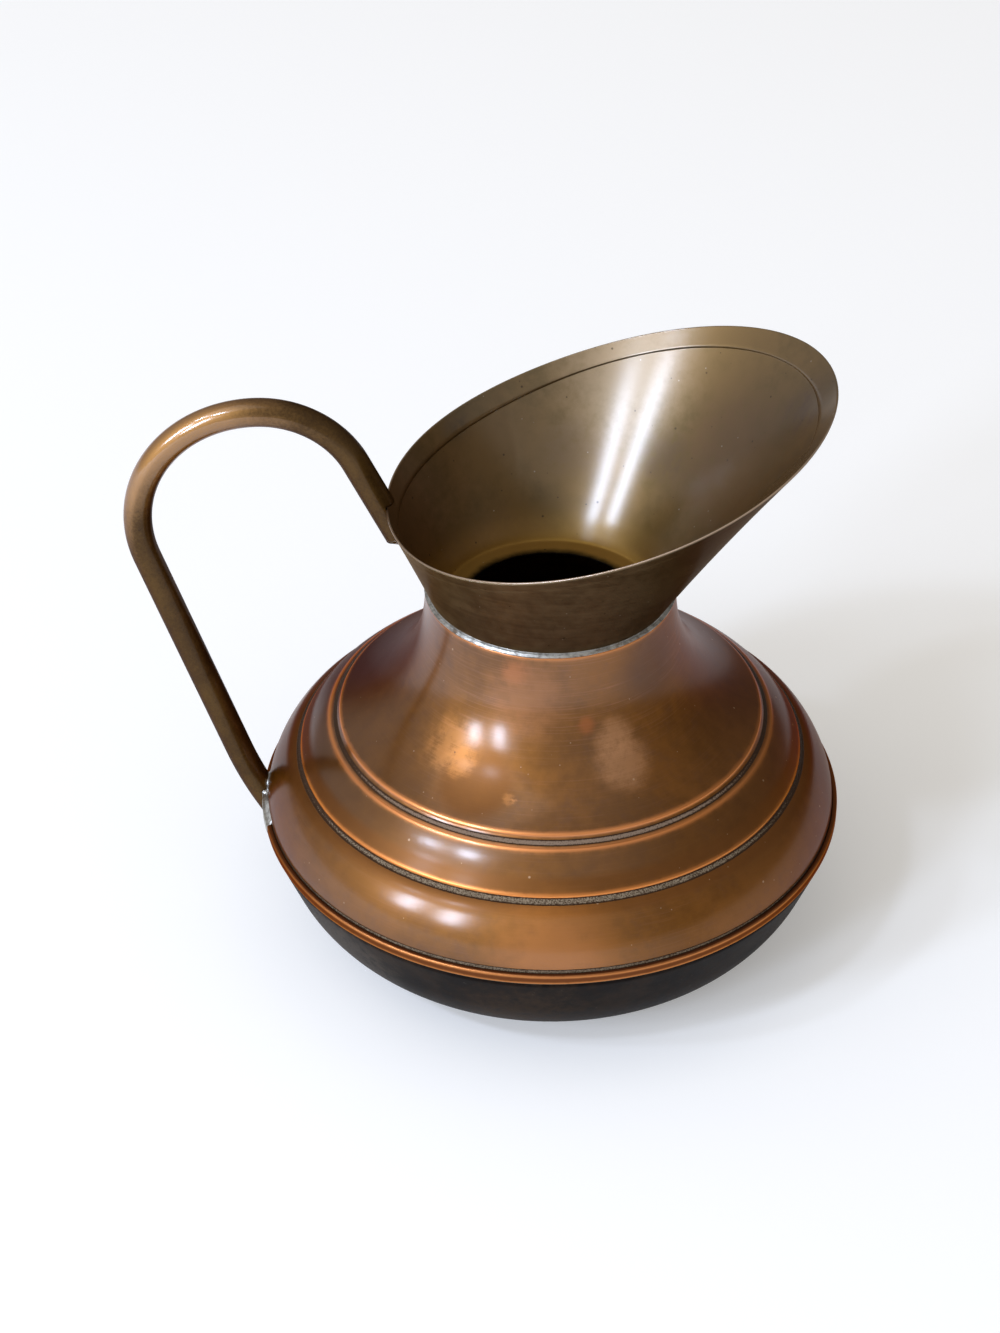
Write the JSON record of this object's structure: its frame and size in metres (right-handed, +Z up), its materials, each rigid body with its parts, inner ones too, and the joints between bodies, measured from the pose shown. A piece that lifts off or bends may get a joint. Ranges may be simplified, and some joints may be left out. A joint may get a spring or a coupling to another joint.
{
  "type": "pitcher",
  "caption": "Squat spun copper pitcher with a stepped shoulder, a bell neck, an oblique brass cone spout with a hemmed rim, and a U-bent brass tube handle.",
  "frame": {"origin": "centre of the flat base, on the surface that the pitcher stands on", "axes": "+Z up, +X the way the spout pours, the handle at -X"},
  "size_m": [0.2318, 0.1934, 0.2002],
  "materials": {
    "polished_copper": "worn polished copper with tarnish and residue in the grooves",
    "sooted_copper": "copper blackened by use, mottled",
    "spout_brass": "aged brass, satin, with dark specks",
    "handle_brass": "brown aged brass, rubbed golden on top",
    "tin_solder": "dull soft solder"
  },
  "bodies": {
    "root": {"lower_bowl": "sooted_copper", "upper_body": "polished_copper", "spout": "spout_brass", "handle": "handle_brass", "neck_solder": "tin_solder", "seam_solder": "tin_solder", "handle_foot_solder": "tin_solder", "handle_top_solder": "tin_solder"}
  },
  "joints": []
}
